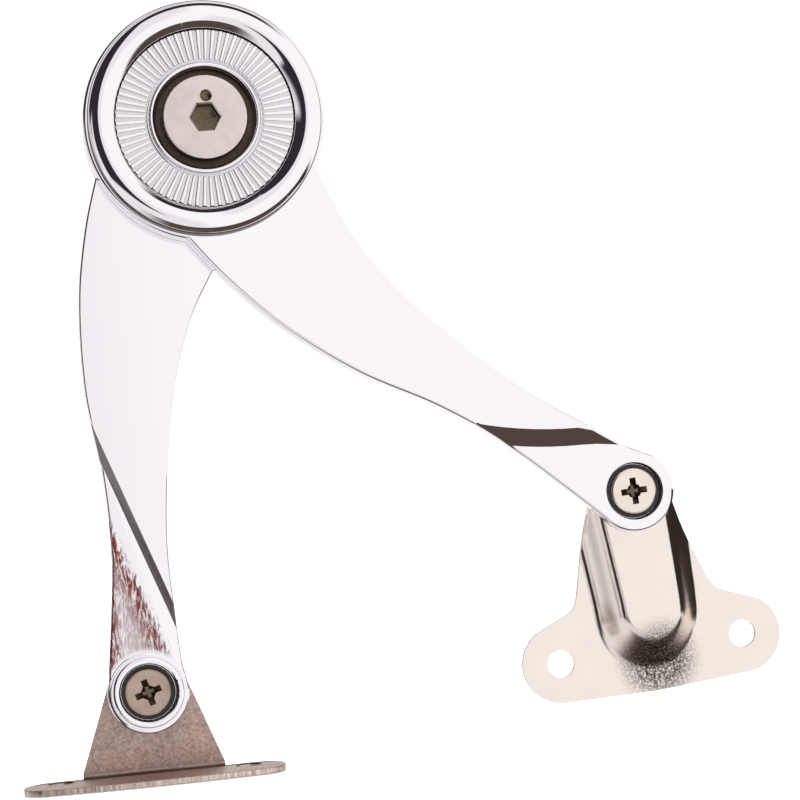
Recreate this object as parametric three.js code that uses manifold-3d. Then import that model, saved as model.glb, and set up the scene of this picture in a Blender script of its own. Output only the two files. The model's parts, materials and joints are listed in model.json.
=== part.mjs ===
// Friction stay hinge for a lid or flap: two bowed arms joined by a round friction hub, with a pivoting
// screw-on bracket at each free end. Millimetres, +Z up. The origin is the centre of the flap bracket's
// screw face.
//
// Every piece is drawn in the face frame: x to the right, y up, z towards the dial. The outermost group
// turns that frame upright, so that the dial looks along -Y and y becomes Z.

import * as THREE from 'three';
import { mergeVertices } from 'three/addons/utils/BufferGeometryUtils.js';
import Module from 'manifold-3d';

const wasm = await Module();
wasm.setup();

const DEGREE = Math.PI / 180;

// Overall layout
const ARM_LENGTH = 98; // hub axis to end pivot axis, the same on both arms
const LOWER_ARM_ANGLE = 79.8 * DEGREE; // from +x to the line from the flap pivot to the hub
const UPPER_ARM_ANGLE = -45.1 * DEGREE; // from +x to the line from the hub to the cabinet pivot
const CABINET_TILT = 4.0 * DEGREE;
const FLAP_PIVOT_HEIGHT = 15.0; // above the screw face of the foot
const PLAY = 0.1; // between pieces that turn on each other

// Levels towards the dial, with 0 at the plane where the two arms meet
const UPPER_BACK = 0.1;
const UPPER_FACE = 5.6;
const UPPER_END_FACE = 3.4;
const LOWER_BACK = -5.1;
const LOWER_FACE = -0.1;
const LOWER_END_FACE = -1.8;
const CABINET_PLANE = -7.0;
const SHEET = 1.1;

// Arm casting
const HEAD_RADIUS = 20.6;
const BOSS_RADIUS = 7.0;
const BOSS_BORE = 3.65;
const EDGE_ROUND = 1.0;
const RECESS_RADIUS = 4.95;
const RECESS_DEPTH = 1.6;

// Hub
const CAVITY_RADIUS = 16.4;
const SKIRT_INNER = 13.7;
const SKIRT_OUTER = CAVITY_RADIUS - PLAY;
const SKIRT_BACK = -2.7;
const LOWER_FLOOR = -3.1;
const WEB_BACK = 3.9;
const WEB_BORE = 4.3;
const KEY_COUNT = 4;
const KEY_WIDTH = 3.0;
const KEY_REACH = 15.1;
const PACK_OUTER = 13.3;
const DISC_THICKNESS = 1.1;
const PLATE_THICKNESS = 1.0;
const PACK_GAP = 0.1;
const STACK_GAP = 0.05;
const NUT_FLATS = 11.0;
const NUT_FLANGE_RADIUS = 8.0;
const NUT_FLANGE = 0.6;
const NUT_BORE = 2.95;
const COVER_RADIUS = 11.0;
const COVER_THICKNESS = 0.4;
const DISC_BORE = 6.6;
const PLATE_BORE = 6.8;
const STOP_PIN_RADIUS = 1.1;
const STOP_PIN_TOP = -1.95;
const STOP_CIRCLE = (SKIRT_INNER + SKIRT_OUTER) / 2;
const STOP_ANGLE = 200; // degrees, where the pin stands in the upper arm's own frame at rest
const STOP_CLOSING = 20; // degrees that the hub may close from rest
const STOP_OPENING = 110; // degrees that it may open from rest

// Dial and tension screw
const DIAL_RADIUS = 20.0;
const BEAD_WIDTH = 5.0;
const BEAD_BASE = 6.9;
const BEAD_CROWN = 9.2;
const RIB_COUNT = 72;
const RIB_BED = 7.0;
const RIB_TOP = 7.4;
const DIAL_BORE = 9.6;
const COLLAR_OUTER = 9.5;
const COLLAR_INNER = 8.35;
const COLLAR_TOP = 7.9;
const HEAD_OF_SCREW_RADIUS = 7.15;
const HEAD_OF_SCREW_TOP = 8.5;
const HEAD_OF_SCREW_THICKNESS = 1.2;
const SOCKET_FLATS = 4.4;
const SOCKET_DEPTH = 3.4;
const SOCKET_TURN = -1; // degrees
const DIMPLE_RADIUS = 1.05;
const DIMPLE_DEPTH = 0.3;
const SCREW_SHANK = 2.85;
const SCREW_END = -4.0;
const SPRING_BORE = 3.2;
const SPRING_RIM = 6.8;
const SPRING_STEEL = 0.35;
const SPRING_RISE = 0.3;
const THRUST_WASHER = 0.2;

// End pivots
const PIVOT_HEAD_RADIUS = 4.0;
const PIVOT_HEAD_THICKNESS = 0.8;
const PIVOT_THREAD = 1.7;
const COLLAR_RADIUS = 2.95;
const BUSH_WALL_RADIUS = 3.5;
const BUSH_FLANGE_RADIUS = 4.7;
const BUSH_FLANGE = 0.3;
const CROSS_LENGTH = 4.6;
const CROSS_WIDTH = 1.05;
const CROSS_FOOT_LENGTH = 2.0;
const CROSS_FOOT_WIDTH = 0.6;
const CROSS_DEPTH = 1.4;
const CROSS_TURN = 17; // degrees, the flap pivot screw's cross
const SPRING_WASHER_RADIUS = 6.2;
const SPRING_WASHER = 0.25;

// Brackets
const FOOT_HOLE_RADIUS = 2.25;
const CABINET_HOLE_RADIUS = 2.4;
const FOOT_HOLE_SPACING = 32;
const FOOT_LENGTH = 44.4;
const FOOT_FRONT = 7.2;
const FOOT_CORNER = 5.0;
const FOOT_BOW = 1.2;
const FOOT_HOLE_LEVEL = -1.9;
const UPRIGHT_WIDTH = 24.4;
const UPRIGHT_FRONT = -5.5;
const BEND_INNER = 0.7;
const LOBE_RADIUS = 6.9;
const LOBE_X = 16.65; // from the flange's middle to each screw hole
const LOBE_Y = -28.4;
const FLANGE_SHIFT = 0.75; // of the flange's middle from the pivot, reached at the neck
const NECK_Y = -19.3;
const BOSS_FRONT = -0.3;
const BOSS_DRAFT = 3.2;

const finish = {
  chrome: { color: 0xe6e2e8, roughness: 0.08, metalness: 1.0 },
  brightNickel: { color: 0xd9cdc2, roughness: 0.18, metalness: 1.0 },
  satinNickel: { color: 0xa39389, roughness: 0.42, metalness: 1.0 },
  screwNickel: { color: 0xcdbfb3, roughness: 0.3, metalness: 1.0 },
  springSteel: { color: 0x6f7276, roughness: 0.35, metalness: 1.0 },
  plateSteel: { color: 0x8f9297, roughness: 0.4, metalness: 1.0 },
  frictionPad: { color: 0x4a3b30, roughness: 0.85, metalness: 0.0 },
  acetal: { color: 0xe8e4da, roughness: 0.5, metalness: 0.0 },
};

// ---------------------------------------------------------------- outlines

function circle(radius, segments, cx = 0, cy = 0) {
  return arc(cx, cy, radius, 0, 360, segments).slice(0, -1);
}

// Points on a round stretch, angles in degrees, ends included.
function arc(cx, cy, radius, from, to, segments) {
  const points = [];
  for (let i = 0; i <= segments; i++) {
    const angle = (from + ((to - from) * i) / segments) * DEGREE;
    points.push(new THREE.Vector2(cx + radius * Math.cos(angle), cy + radius * Math.sin(angle)));
  }
  return points;
}

function polygon(flats, sides, turn = 0) {
  const corner = flats / 2 / Math.cos(Math.PI / sides);
  return arc(0, 0, corner, turn, turn + 360, sides).slice(0, -1);
}

function rectangle(width, height, cx = 0, cy = 0) {
  const corners = [[-1, -1], [1, -1], [1, 1], [-1, 1]];
  return corners.map(([sx, sy]) => new THREE.Vector2(cx + (sx * width) / 2, cy + (sy * height) / 2));
}

// A smooth stretch through a few chosen points.
function smooth(points, segments) {
  return new THREE.SplineCurve(points.map(([x, y]) => new THREE.Vector2(x, y))).getPoints(segments);
}

// ------------------------------------------------------------ solid shapes

// A flat outline raised from level z0 to z1, with any holes left open.
function slab(outline, z0, z1, holes = []) {
  const shape = new THREE.Shape(outline);
  shape.holes = holes.map((hole) => new THREE.Path(hole));
  const geometry = new THREE.ExtrudeGeometry(shape, { depth: z1 - z0, bevelEnabled: false, steps: 1 });
  return geometry.translate(0, 0, z0);
}

// A profile of [radius, level] points turned about the z axis.
function turned(profile, segments) {
  const points = profile.map(([r, z]) => new THREE.Vector2(r, z));
  if (THREE.ShapeUtils.area(points) < 0) points.reverse();
  points.push(points[0].clone());
  return new THREE.LatheGeometry(points, segments).rotateX(Math.PI / 2);
}

function washer(inner, outer, z0, z1, segments) {
  return turned([[inner, z0], [outer, z0], [outer, z1], [inner, z1]], segments);
}

function pin(radius, z0, z1, segments) {
  return slab(circle(radius, segments), z0, z1);
}

// A slab whose front edge is rounded all the way along the outline.
function roundedSlab(outline, z0, z1) {
  const settings = {
    depth: z1 - z0,
    bevelEnabled: true,
    bevelSegments: 2,
    bevelThickness: EDGE_ROUND,
    bevelSize: EDGE_ROUND,
    bevelOffset: -EDGE_ROUND,
    steps: 1,
  };
  const block = new THREE.ExtrudeGeometry(new THREE.Shape(outline), settings);
  block.translate(0, 0, z0 - EDGE_ROUND);
  return cut(block, [slab(rectangle(400, 400), z0 - 10, z0)]);
}

// A solid running straight from one outline to another with as many points.
function tapered(lower, z0, upper, z1) {
  const count = lower.length;
  const vertices = [...lower.map(({ x, y }) => [x, y, z0]), ...upper.map(({ x, y }) => [x, y, z1])];
  const faces = [];
  for (let i = 0; i < count; i++) {
    const next = (i + 1) % count;
    faces.push([i, next, count + next], [i, count + next, count + i]);
  }
  for (const [p, q, r] of THREE.ShapeUtils.triangulateShape(lower, [])) faces.push([p, r, q]);
  for (const [p, q, r] of THREE.ShapeUtils.triangulateShape(upper, [])) {
    faces.push([count + p, count + q, count + r]);
  }
  const geometry = new THREE.BufferGeometry();
  geometry.setAttribute('position', new THREE.Float32BufferAttribute(vertices.flat(), 3));
  geometry.setIndex(faces.flat());
  return geometry;
}

// --------------------------------------------------------- joining, cutting

function toSolid(geometry) {
  const bare = geometry.clone();
  bare.deleteAttribute('normal');
  bare.deleteAttribute('uv');
  const merged = mergeVertices(bare, 1e-4);
  const vertProperties = new Float32Array(merged.attributes.position.array);
  const triVerts = new Uint32Array(merged.index.array);
  return new wasm.Manifold(new wasm.Mesh({ numProp: 3, vertProperties, triVerts }));
}

function toGeometry(solid) {
  const { vertProperties, triVerts } = solid.getMesh();
  const geometry = new THREE.BufferGeometry();
  geometry.setAttribute('position', new THREE.BufferAttribute(new Float32Array(vertProperties), 3));
  geometry.setIndex(new THREE.BufferAttribute(new Uint32Array(triVerts), 1));
  return geometry;
}

function combine(base, others, operation) {
  let solid = toSolid(base);
  for (const other of others) solid = solid[operation](toSolid(other));
  return toGeometry(solid);
}

const join = (base, others) => combine(base, others, 'add');
const cut = (base, tools) => combine(base, tools, 'subtract');
const keepInside = (base, tools) => combine(base, tools, 'intersect');

function piece(name, geometry, look) {
  const shaded = geometry.index ? geometry.toNonIndexed() : geometry;
  shaded.computeVertexNormals();
  const mesh = new THREE.Mesh(shaded, new THREE.MeshStandardMaterial(look));
  mesh.name = name;
  return mesh;
}

// -------------------------------------------------------------------- arms

// Outline of one arm in its own frame: hub at the origin, end pivot at x = ARM_LENGTH, bowed towards -y.
function armOutline() {
  const bowed = [
    [11, -17.45],
    [20.5, -18.4],
    [33, -18.2],
    [48, -15.7],
    [62, -11.3],
    [76, -8.4],
    [90, -7.3],
  ];
  const hollow = [
    [92.5, 5.3],
    [84, 3.2],
    [72, 0.7],
    [58, -0.5],
    [45, -0.5],
    [34, 1.0],
    [26, 3.7],
    [19.6, 6.4],
  ];
  return [
    ...arc(0, 0, HEAD_RADIUS, 18.1, 302.2, 46),
    ...smooth(bowed, 18).slice(1),
    ...arc(ARM_LENGTH, 0, BOSS_RADIUS, -97, 103, 14),
    ...smooth(hollow, 18).slice(0, -1),
  ];
}

// The slanted step: removes everything in front of the end's level beyond a line across the arm.
function stepCutter(start, direction, width, face, endFace) {
  const along = new THREE.Vector3(Math.cos(direction), Math.sin(direction), 0);
  const outward = new THREE.Vector3(along.y, -along.x, 0);
  const up = new THREE.Vector3(0, 0, 1);
  const margin = 2;
  const slope = width / (face - endFace);
  const section = [
    new THREE.Vector2(-margin * slope, face + margin),
    new THREE.Vector2(width, endFace),
    new THREE.Vector2(70, endFace),
    new THREE.Vector2(70, face + margin),
  ];
  const reach = 80;
  const place = new THREE.Matrix4().makeBasis(outward, up, outward.clone().cross(up));
  place.setPosition(start[0], start[1], 0);
  return slab(section, -reach, reach).applyMatrix4(place);
}

// Pivot boss of an arm: the stepped bore that the bush and the screw head sit in.
function bossCuts(back, endFace) {
  const bore = pin(BOSS_BORE, back - 1, endFace + 1, 32).translate(ARM_LENGTH, 0, 0);
  const recess = pin(RECESS_RADIUS, endFace - RECESS_DEPTH, endFace + 1, 36).translate(ARM_LENGTH, 0, 0);
  return [bore, recess];
}

function keyways(inner, outer, width, z0, z1) {
  const ways = [];
  for (let i = 0; i < KEY_COUNT; i++) {
    const way = slab(rectangle(outer - inner, width, (inner + outer) / 2, 0), z0, z1);
    ways.push(way.rotateZ((i * 2 * Math.PI) / KEY_COUNT));
  }
  return ways;
}

function upperArm() {
  const body = roundedSlab(armOutline(), UPPER_BACK, UPPER_FACE);
  const skirt = washer(SKIRT_INNER, SKIRT_OUTER, SKIRT_BACK, UPPER_BACK + 1, 60);
  const cavity = pin(SKIRT_INNER, UPPER_BACK - 1, WEB_BACK, 60);
  const pinWidth = (STOP_PIN_RADIUS + 2 * PLAY) / STOP_CIRCLE / DEGREE;
  const from = STOP_ANGLE - STOP_OPENING - pinWidth;
  const to = STOP_ANGLE + STOP_CLOSING + pinWidth;
  const notch = [
    ...arc(0, 0, SKIRT_INNER - 0.5, from, to, 20),
    ...arc(0, 0, SKIRT_OUTER + 0.5, to, from, 20),
  ];
  return cut(join(body, [skirt]), [
    cavity,
    pin(WEB_BORE, WEB_BACK - 1, UPPER_FACE + 1, 32),
    ...keyways(SKIRT_INNER - 1, KEY_REACH, KEY_WIDTH, SKIRT_BACK - 1, WEB_BACK),
    slab(notch, SKIRT_BACK - 1, STOP_PIN_TOP + PLAY),
    stepCutter([68.9, -9.4], 39.0 * DEGREE, 3.0, UPPER_FACE, UPPER_END_FACE),
    ...bossCuts(UPPER_BACK, UPPER_END_FACE),
  ]);
}

function lowerArm() {
  const body = roundedSlab(armOutline(), LOWER_BACK, LOWER_FACE);
  return cut(body, [
    pin(CAVITY_RADIUS, LOWER_FLOOR, LOWER_FACE + 1, 60),
    slab(polygon(NUT_FLATS + 2 * PLAY, 6), LOWER_BACK - 1, LOWER_FLOOR + 1),
    pin(NUT_FLANGE_RADIUS + PLAY, LOWER_BACK - 1, LOWER_BACK + COVER_THICKNESS + NUT_FLANGE + 2 * PLAY, 40),
    pin(COVER_RADIUS + PLAY, LOWER_BACK - 1, LOWER_BACK + COVER_THICKNESS, 48),
    stepCutter([53.0, -14.2], 30.0 * DEGREE, 1.5, LOWER_FACE, LOWER_END_FACE),
    ...bossCuts(LOWER_BACK, LOWER_END_FACE),
  ]);
}

// --------------------------------------------------------------------- hub

function dialRing() {
  const middle = DIAL_RADIUS - BEAD_WIDTH / 2;
  const bead = arc(0, 0, 1, 0, 180, 12).map(({ x, y }) => [
    middle + (x * BEAD_WIDTH) / 2,
    BEAD_BASE + y * (BEAD_CROWN - BEAD_BASE),
  ]);
  const inner = DIAL_RADIUS - BEAD_WIDTH;
  const back = UPPER_FACE + PLAY;
  const profile = [[DIAL_BORE, back], [DIAL_RADIUS, back], ...bead, [inner, RIB_BED], [DIAL_BORE, RIB_BED]];
  const body = turned(profile, 72);
  const star = [];
  for (let i = 0; i < RIB_COUNT; i++) {
    const pitch = 360 / RIB_COUNT;
    star.push(...arc(0, 0, DIAL_BORE + 0.4, (i - 0.25) * pitch, (i - 0.24) * pitch, 1));
    star.push(...arc(0, 0, inner + 0.2, (i - 0.23) * pitch, (i + 0.23) * pitch, 1));
    star.push(...arc(0, 0, DIAL_BORE + 0.4, (i + 0.24) * pitch, (i + 0.25) * pitch, 1));
  }
  const ribs = slab(star, RIB_BED - 0.5, RIB_TOP, [circle(DIAL_BORE, 72)]);
  return join(body, [ribs]);
}

function tensionScrew() {
  const seat = HEAD_OF_SCREW_TOP - HEAD_OF_SCREW_THICKNESS;
  const body = turned(
    [
      [0, SCREW_END],
      [SCREW_SHANK - 0.5, SCREW_END],
      [SCREW_SHANK, SCREW_END + 0.5],
      [SCREW_SHANK, seat],
      [HEAD_OF_SCREW_RADIUS, seat],
      [HEAD_OF_SCREW_RADIUS, HEAD_OF_SCREW_TOP - 0.3],
      [HEAD_OF_SCREW_RADIUS - 0.3, HEAD_OF_SCREW_TOP],
      [0, HEAD_OF_SCREW_TOP],
    ],
    48,
  );
  const top = HEAD_OF_SCREW_TOP;
  const socket = slab(polygon(SOCKET_FLATS, 6, SOCKET_TURN), top - SOCKET_DEPTH, top + 1);
  const dimple = pin(DIMPLE_RADIUS, top - DIMPLE_DEPTH, top + 1, 20).translate(0.4, 3.6, 0);
  return cut(body, [socket, dimple]);
}

function clampNut() {
  const flangeBack = LOWER_BACK + COVER_THICKNESS + PLAY;
  const flange = pin(NUT_FLANGE_RADIUS, flangeBack, flangeBack + NUT_FLANGE, 40);
  const sleeve = slab(polygon(NUT_FLATS, 6), flangeBack, WEB_BACK - 1);
  return cut(join(flange, [sleeve]), [pin(NUT_BORE, flangeBack - 1, WEB_BACK, 32)]);
}

function tabbedPlate(z) {
  const disc = pin(PACK_OUTER, z, z + PLATE_THICKNESS, 48);
  const tabs = keyways(PACK_OUTER - 1, KEY_REACH - 2 * PLAY, KEY_WIDTH - 4 * PLAY, z, z + PLATE_THICKNESS);
  return cut(join(disc, tabs), [pin(PLATE_BORE, z - 1, z + 2, 32)]);
}

function hexPlate(z) {
  return slab(circle(PACK_OUTER, 48), z, z + PLATE_THICKNESS, [polygon(NUT_FLATS + 2 * PLAY, 6)]);
}

// A shallow steel cone; the two lie bore to bore, so that each opens away from the other.
function discSpring(z, opensForward) {
  const atBore = z + (opensForward ? 0 : SPRING_RISE);
  const atRim = z + (opensForward ? SPRING_RISE : 0);
  return turned(
    [
      [SPRING_BORE, atBore],
      [SPRING_RIM, atRim],
      [SPRING_RIM, atRim + SPRING_STEEL],
      [SPRING_BORE, atBore + SPRING_STEEL],
    ],
    40,
  );
}

// -------------------------------------------------------------- end pivots

function pivotScrew(shoulder, end, turn) {
  const top = shoulder + PIVOT_HEAD_THICKNESS;
  const edge = 0.2;
  const body = turned(
    [
      [0, end],
      [PIVOT_THREAD - 0.3, end],
      [PIVOT_THREAD, end + 0.3],
      [PIVOT_THREAD, shoulder],
      [PIVOT_HEAD_RADIUS, shoulder],
      [PIVOT_HEAD_RADIUS, top - edge],
      [PIVOT_HEAD_RADIUS - edge, top],
      [0, top],
    ],
    36,
  );
  // The driver's cross narrows with depth, so that it stays inside the shank.
  const foot = rectangle(CROSS_FOOT_LENGTH, CROSS_FOOT_WIDTH);
  const mouth = rectangle(CROSS_LENGTH, CROSS_WIDTH);
  const slots = [0, 90].map((angle) =>
    tapered(foot, top - CROSS_DEPTH, mouth, top + 0.01).rotateZ((angle + turn) * DEGREE),
  );
  return cut(body, slots);
}

function flangedBush(armBack, seat) {
  return turned(
    [
      [COLLAR_RADIUS + PLAY, armBack],
      [BUSH_WALL_RADIUS, armBack],
      [BUSH_WALL_RADIUS, seat + PLAY / 2],
      [BUSH_FLANGE_RADIUS, seat + PLAY / 2],
      [BUSH_FLANGE_RADIUS, seat + BUSH_FLANGE],
      [COLLAR_RADIUS + PLAY, seat + BUSH_FLANGE],
    ],
    32,
  );
}

// Thin washer between a bracket and the back of its arm.
function springWasher(armBack) {
  const front = armBack - STACK_GAP;
  return washer(COLLAR_RADIUS + PLAY, SPRING_WASHER_RADIUS, front - SPRING_WASHER, front, 32);
}

// The drawn and tapped collar of a bracket, which the arm turns on.
function drawnCollar(front, top) {
  return washer(PIVOT_THREAD + 0.08, COLLAR_RADIUS, front - SHEET, top, 32);
}

// ---------------------------------------------------------------- brackets

function flapBracket() {
  const bottom = -FLAP_PIVOT_HEIGHT;
  const half = FOOT_LENGTH / 2;
  const back = UPRIGHT_FRONT - SHEET;
  const earBack = UPRIGHT_FRONT + 0.1;
  const frontCorner = FOOT_FRONT - FOOT_BOW - FOOT_CORNER;
  // The foot, drawn from above: x along it, y towards the dial.
  const foot = [
    ...arc(half - FOOT_CORNER, earBack + FOOT_CORNER, FOOT_CORNER, -90, 0, 6),
    ...arc(half - FOOT_CORNER, frontCorner, FOOT_CORNER, 0, 72, 6),
    ...smooth([[10, FOOT_FRONT - 0.35], [0, FOOT_FRONT], [-10, FOOT_FRONT - 0.35]], 6),
    ...arc(FOOT_CORNER - half, frontCorner, FOOT_CORNER, 108, 180, 6),
    ...arc(FOOT_CORNER - half, earBack + FOOT_CORNER, FOOT_CORNER, 180, 270, 6),
  ];
  const holes = [-1, 1].map((side) =>
    circle(FOOT_HOLE_RADIUS, 32, (side * FOOT_HOLE_SPACING) / 2, FOOT_HOLE_LEVEL),
  );
  const footPlate = slab(foot, 0, SHEET, holes).rotateX(Math.PI / 2).rotateZ(Math.PI).translate(0, bottom, 0);

  // The bent strip, drawn from the side: x towards the dial, y up.
  const outer = BEND_INNER + SHEET;
  const bend = [
    new THREE.Vector2(earBack + 2, bottom),
    new THREE.Vector2(earBack + 2, bottom + SHEET),
    ...arc(UPRIGHT_FRONT + BEND_INNER, bottom + outer, BEND_INNER, 270, 180, 5),
    new THREE.Vector2(UPRIGHT_FRONT, 20),
    new THREE.Vector2(back, 20),
    ...arc(UPRIGHT_FRONT + BEND_INNER, bottom + outer, outer, 180, 270, 6),
  ];
  const strip = slab(bend, -UPRIGHT_WIDTH / 2, UPRIGHT_WIDTH / 2).rotateY(-Math.PI / 2);

  // The upright's outline from the front: a triangle with a round top.
  const side = UPRIGHT_WIDTH / 2;
  const upright = [
    new THREE.Vector2(-side, bottom - 1),
    new THREE.Vector2(side, bottom - 1),
    new THREE.Vector2(side, bottom + outer),
    ...arc(0, 0, BOSS_RADIUS - 0.1, 22, 158, 12),
    new THREE.Vector2(-side, bottom + outer),
  ];
  const standing = keepInside(strip, [slab(upright, -20, 20)]);
  const collarTop = LOWER_END_FACE - RECESS_DEPTH + BUSH_FLANGE;
  const through = pin(PIVOT_THREAD + 0.08, back - 1, collarTop + 1, 32);
  return cut(join(footPlate, [standing, drawnCollar(UPRIGHT_FRONT, collarTop)]), [through]);
}

// The flange stands a little to one side of the pivot, so every outline leans that way below it.
function leaning(points) {
  const share = (y) => Math.min(1, Math.max(0, y / NECK_Y));
  return points.map(({ x, y }) => new THREE.Vector2(x + FLANGE_SHIFT * share(y), y));
}

function cabinetOutline() {
  const right = [
    ...arc(LOBE_X, LOBE_Y, LOBE_RADIUS, -88, 60, 10),
    ...smooth([[15.6, -20.6], [13.2, -19.4], [12.0, -17.4]], 5),
    new THREE.Vector2(7.7, -3.0),
    ...arc(0, 0, BOSS_RADIUS, 4, 90, 9),
  ];
  const left = right.map(({ x, y }) => new THREE.Vector2(-x, y)).reverse();
  return leaning([...right, ...left.slice(1), new THREE.Vector2(0, LOBE_Y - LOBE_RADIUS - 0.6)]);
}

// Long outline of the pressed boss: round about the pivot and round again at the bottom.
function bossOutline(offset, bottomRadius, bottomCentre) {
  return leaning([
    ...arc(0, bottomCentre, bottomRadius + offset, 180, 360, 14),
    ...arc(0, 0, BOSS_RADIUS - 0.8 + offset, -8, 188, 14),
  ]);
}

function cabinetBracket() {
  const outline = cabinetOutline();
  const front = CABINET_PLANE + SHEET;
  const wall = SHEET / Math.cos(Math.atan(BOSS_DRAFT / (BOSS_FRONT - front)));
  const slope = (BOSS_DRAFT * SHEET) / (BOSS_FRONT - front);
  const base = (offset) => bossOutline(BOSS_DRAFT + offset, 5.5, -23);
  const top = (offset) => bossOutline(offset, 5.3, -20.6);
  const inside = slope - wall;
  const raised = tapered(base(0), front - 0.01, top(0), BOSS_FRONT);
  const hollow = tapered(base(inside), CABINET_PLANE - 0.01, top(inside), BOSS_FRONT - SHEET);
  const plate = slab(outline, CABINET_PLANE, front);
  const pressed = keepInside(cut(join(plate, [raised]), [hollow]), [slab(outline, CABINET_PLANE, 2)]);
  const collarTop = UPPER_END_FACE - RECESS_DEPTH + BUSH_FLANGE;
  const hole = pin(CABINET_HOLE_RADIUS, CABINET_PLANE - 1, front + 1, 32);
  const holes = [-1, 1].map((side) => hole.clone().translate(FLANGE_SHIFT + side * LOBE_X, LOBE_Y, 0));
  const through = pin(PIVOT_THREAD + 0.08, CABINET_PLANE, collarTop + 1, 32);
  return cut(join(pressed, [drawnCollar(BOSS_FRONT, collarTop)]), [...holes, through]);
}

// ---------------------------------------------------------------- assembly

const flap = new THREE.Group();
flap.position.set(0, FLAP_PIVOT_HEIGHT, 0);
const lowerSeat = LOWER_END_FACE - RECESS_DEPTH;
const lowerShoulder = lowerSeat + BUSH_FLANGE + PLAY;
const flapScrew = pivotScrew(lowerShoulder, UPRIGHT_FRONT - SHEET, CROSS_TURN);
flap.add(
  piece('flap_bracket', flapBracket(), finish.satinNickel),
  piece('flap_pivot_screw', flapScrew, finish.screwNickel),
  piece('flap_pivot_washer', springWasher(LOWER_BACK), finish.springSteel),
  piece('flap_pivot_bush', flangedBush(LOWER_BACK, lowerSeat), finish.acetal),
);

// The hub group stands at the hub's axis; each arm's own frame is turned about it.
const hub = new THREE.Group();
hub.position.set(
  ARM_LENGTH * Math.cos(LOWER_ARM_ANGLE),
  FLAP_PIVOT_HEIGHT + ARM_LENGTH * Math.sin(LOWER_ARM_ANGLE),
  0,
);

const lower = new THREE.Group();
lower.rotation.z = LOWER_ARM_ANGLE + Math.PI;
const packFloor = LOWER_FLOOR + PACK_GAP;
const layer = DISC_THICKNESS + PACK_GAP;
const plateLayer = PLATE_THICKNESS + PACK_GAP;
const lining = washer(DISC_BORE, PACK_OUTER - PACK_GAP, 0, DISC_THICKNESS, 48);
const disc = (name, z) => piece(name, lining.clone().translate(0, 0, z), finish.frictionPad);
const middleDisc = packFloor + layer + plateLayer;
const frontDisc = middleDisc + layer + plateLayer;
const frontPlate = frontDisc + layer;
const cover = pin(COVER_RADIUS, LOWER_BACK, LOWER_BACK + COVER_THICKNESS - STACK_GAP, 48);
const stopInLower = STOP_ANGLE * DEGREE + UPPER_ARM_ANGLE - lower.rotation.z;
lower.add(
  piece('lower_arm', lowerArm(), finish.chrome),
  piece('clamp_nut', clampNut(), finish.plateSteel),
  piece('rear_cover', cover, finish.satinNickel),
  disc('friction_disc_rear', packFloor),
  disc('friction_disc_middle', middleDisc),
  piece('inner_plate', hexPlate(middleDisc + layer), finish.plateSteel),
  disc('friction_disc_front', frontDisc),
  piece(
    'stop_pin',
    pin(STOP_PIN_RADIUS, LOWER_FLOOR + STACK_GAP, STOP_PIN_TOP, 20).translate(
      STOP_CIRCLE * Math.cos(stopInLower),
      STOP_CIRCLE * Math.sin(stopInLower),
      0,
    ),
    finish.plateSteel,
  ),
);

const upper = new THREE.Group();
upper.rotation.z = UPPER_ARM_ANGLE;
const springHeight = SPRING_RISE + SPRING_STEEL;
const springBase = UPPER_FACE + STACK_GAP;
const thrustBase = springBase + 2 * (springHeight + STACK_GAP);
upper.add(
  piece('upper_arm', upperArm(), finish.chrome),
  piece('outer_plate_rear', tabbedPlate(packFloor + layer), finish.plateSteel),
  piece('outer_plate_front', tabbedPlate(frontPlate), finish.plateSteel),
  piece('dial_ring', dialRing(), finish.chrome),
  piece('dial_collar', washer(COLLAR_INNER, COLLAR_OUTER, UPPER_FACE + PLAY, COLLAR_TOP, 48), finish.chrome),
  piece('disc_spring_rear', discSpring(springBase, false), finish.springSteel),
  piece('disc_spring_front', discSpring(springBase + springHeight + STACK_GAP, true), finish.springSteel),
  piece(
    'thrust_washer',
    washer(SPRING_BORE, SPRING_RIM, thrustBase, thrustBase + THRUST_WASHER, 40),
    finish.plateSteel,
  ),
);

hub.add(lower, upper, piece('tension_screw', tensionScrew(), finish.satinNickel));

const cabinet = new THREE.Group();
cabinet.position.set(
  hub.position.x + ARM_LENGTH * Math.cos(UPPER_ARM_ANGLE),
  hub.position.y + ARM_LENGTH * Math.sin(UPPER_ARM_ANGLE),
  0,
);
cabinet.rotation.z = CABINET_TILT;
const upperSeat = UPPER_END_FACE - RECESS_DEPTH;
const upperShoulder = upperSeat + BUSH_FLANGE + PLAY;
const cabinetScrew = pivotScrew(upperShoulder, BOSS_FRONT - SHEET - 1, 0);
cabinet.add(
  piece('cabinet_bracket', cabinetBracket(), finish.brightNickel),
  piece('cabinet_pivot_screw', cabinetScrew, finish.screwNickel),
  piece('cabinet_pivot_washer', springWasher(UPPER_BACK), finish.springSteel),
  piece('cabinet_pivot_bush', flangedBush(UPPER_BACK, upperSeat), finish.acetal),
);

const face = new THREE.Group();
face.add(flap, hub, cabinet);
face.rotation.x = Math.PI / 2;
// The foot's middle lies slightly in front of the plane where the arms meet.
face.position.y = (FOOT_FRONT + UPRIGHT_FRONT - SHEET) / 2;

const stay = new THREE.Group();
stay.add(face);

export default stay;
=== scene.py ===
import json
import math

import bmesh
import bpy
from mathutils import Matrix, Vector


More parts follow.
